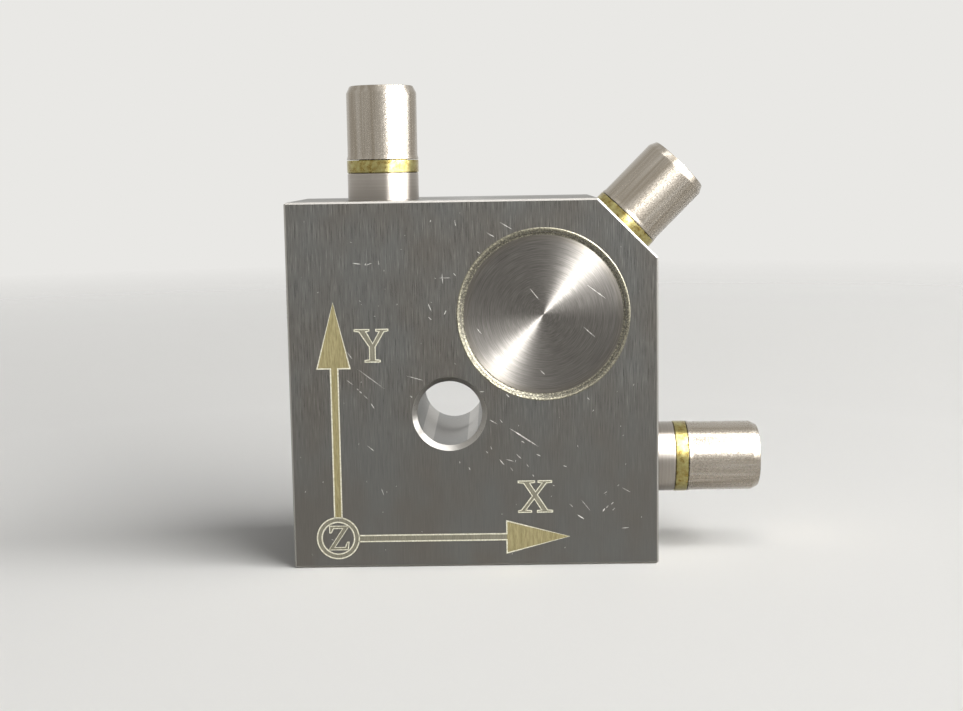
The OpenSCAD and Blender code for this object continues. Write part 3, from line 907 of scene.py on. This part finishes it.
def make_light(name, at, size, long_way, level, matt=True):
    """Soft rectangular lamp that faces the block, with its second side near the direction long_way.
    One that leaves out matt surfaces only shows as a highlight."""
    middle = (Vector(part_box("housing")[0]) + Vector(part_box("housing")[1])) / 2
    back = Vector(at).normalized()
    across = Vector(long_way).cross(back).normalized()
    turn = Matrix((across, back.cross(across), back)).transposed().to_4x4()
    lamp = bpy.data.lights.new(name, "AREA")
    lamp.shape = "RECTANGLE"
    lamp.size, lamp.size_y = size
    lamp.energy = level * math.pi * size[0] * size[1]
    holder = bpy.data.objects.new(name, lamp)
    holder.matrix_world = Matrix.Translation(middle + Vector(at)) @ turn
    holder.visible_camera = False
    holder.visible_diffuse = matt
    bpy.context.scene.collection.objects.link(holder)
    return holder


def light_all_but(lamp, left_out):
    """Keeps a lamp off one piece."""
    group = bpy.data.collections.new(f"{lamp.name}_pieces")
    for piece in bpy.context.scene.objects:
        if piece.type == "MESH" and piece != left_out:
            group.objects.link(piece)
    lamp.light_linking.receiver_collection = group


def make_world():
    """Pale background for the camera and for reflections, and an even fill for matt surfaces."""
    world = bpy.data.worlds.new("studio")
    world.use_nodes = True
    tree = world.node_tree
    even = node(tree, "ShaderNodeBackground", {"Color": "#ffffff", "Strength": FILL_LEVEL})
    pale = node(tree, "ShaderNodeBackground", {"Color": "#e9e8e5", "Strength": 1.0})
    seen = node(tree, "ShaderNodeLightPath", {}, "Is Camera Ray")
    for kind in ("Is Glossy Ray", "Is Transmission Ray"):
        also = node(tree, "ShaderNodeLightPath", {}, kind)
        seen = node(tree, "ShaderNodeMath", {0: seen, 1: also}, operation="MAXIMUM")
    mixed = node(tree, "ShaderNodeMixShader", {0: seen, 1: even, 2: pale})
    fill(tree.nodes["World Output"], {"Surface": mixed})
    bpy.context.scene.world = world


def make_camera():
    """Camera where the photograph was taken from."""
    lens = bpy.data.cameras.new("camera")
    lens.sensor_width = SENSOR_MM
    lens.lens = FOCAL_PX / IMAGE_SIZE[0] * SENSOR_MM
    lens.clip_start, lens.clip_end = [mm * MM for mm in CAMERA_CLIP]
    holder = bpy.data.objects.new("camera", lens)
    yaw = Matrix.Rotation(math.radians(CAMERA_YAW), 4, "Z")
    pitch = Matrix.Rotation(math.radians(CAMERA_PITCH), 4, "X")
    roll = Matrix.Rotation(math.radians(CAMERA_ROLL), 4, "Z")
    holder.matrix_world = Matrix.Translation(Vector(CAMERA_AT) * MM) @ yaw @ pitch @ roll
    scene = bpy.context.scene
    scene.collection.objects.link(holder)
    scene.camera = holder
    scene.view_settings.view_transform = "Standard"


def make_sensor():
    """Every visible piece of the sensor and the finishes of the CAD nodes."""
    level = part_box("housing")[0][1] / MM
    dress("housing", brushed_stainless())
    dress("preload_screw", black_oxide())
    dress("seismic_mass", ground_tungsten())
    dress("piezo_ring", ground_ceramic())
    dress("electrode", rolled_bronze())
    dress("signal_lead", drawn_copper())
    dress("cap_gasket", moulded_rubber())
    ptfe = turned_ptfe()
    dress("insulating_sleeve", ptfe)
    dress("jack_insulator", ptfe)
    gold = gold_plate()
    dress("jack_contact", gold)
    turned_steel = fine_turned_stainless()
    nickel = satin_nickel()
    faced = face_turned_stainless()
    weld = laser_weld(reach("z_cover", cover_place("z"))[2])
    heights = {}
    for axis in AXES:
        place = jack_place(axis)
        make_boss(axis, place, turned_steel)
        make_jack(axis, place, gold)
        make_cap(axis, place, nickel)
        place = cover_place(axis)
        radius, heights[axis] = make_cover(axis, place, faced)
        make_weld(axis, place, radius, heights[axis], weld)
    hatch = laser_fill("stainless_steel_laser_hatch", "#756c4a", "#988f6a")
    tint = laser_fill("stainless_steel_laser_tint", "#656256", "#7c796a")
    make_marks(level, laser_line(), hatch, tint)
    make_scratches(level, level - heights["z"], bare_scratch())


make_camera()
make_world()
make_floor()
make_light("key", KEY_AT, KEY_SIZE, KEY_WAY, KEY_LEVEL)
glint = make_light("glint", KEY_AT, KEY_SIZE, KEY_WAY, GLINT_LEVEL, matt=False)
make_light("side", SIDE_AT, SIDE_SIZE, SIDE_WAY, SIDE_LEVEL)
make_light("overhead", OVERHEAD_AT, OVERHEAD_SIZE, OVERHEAD_WAY, OVERHEAD_LEVEL)
make_sensor()
light_all_but(glint, NODES["housing"])
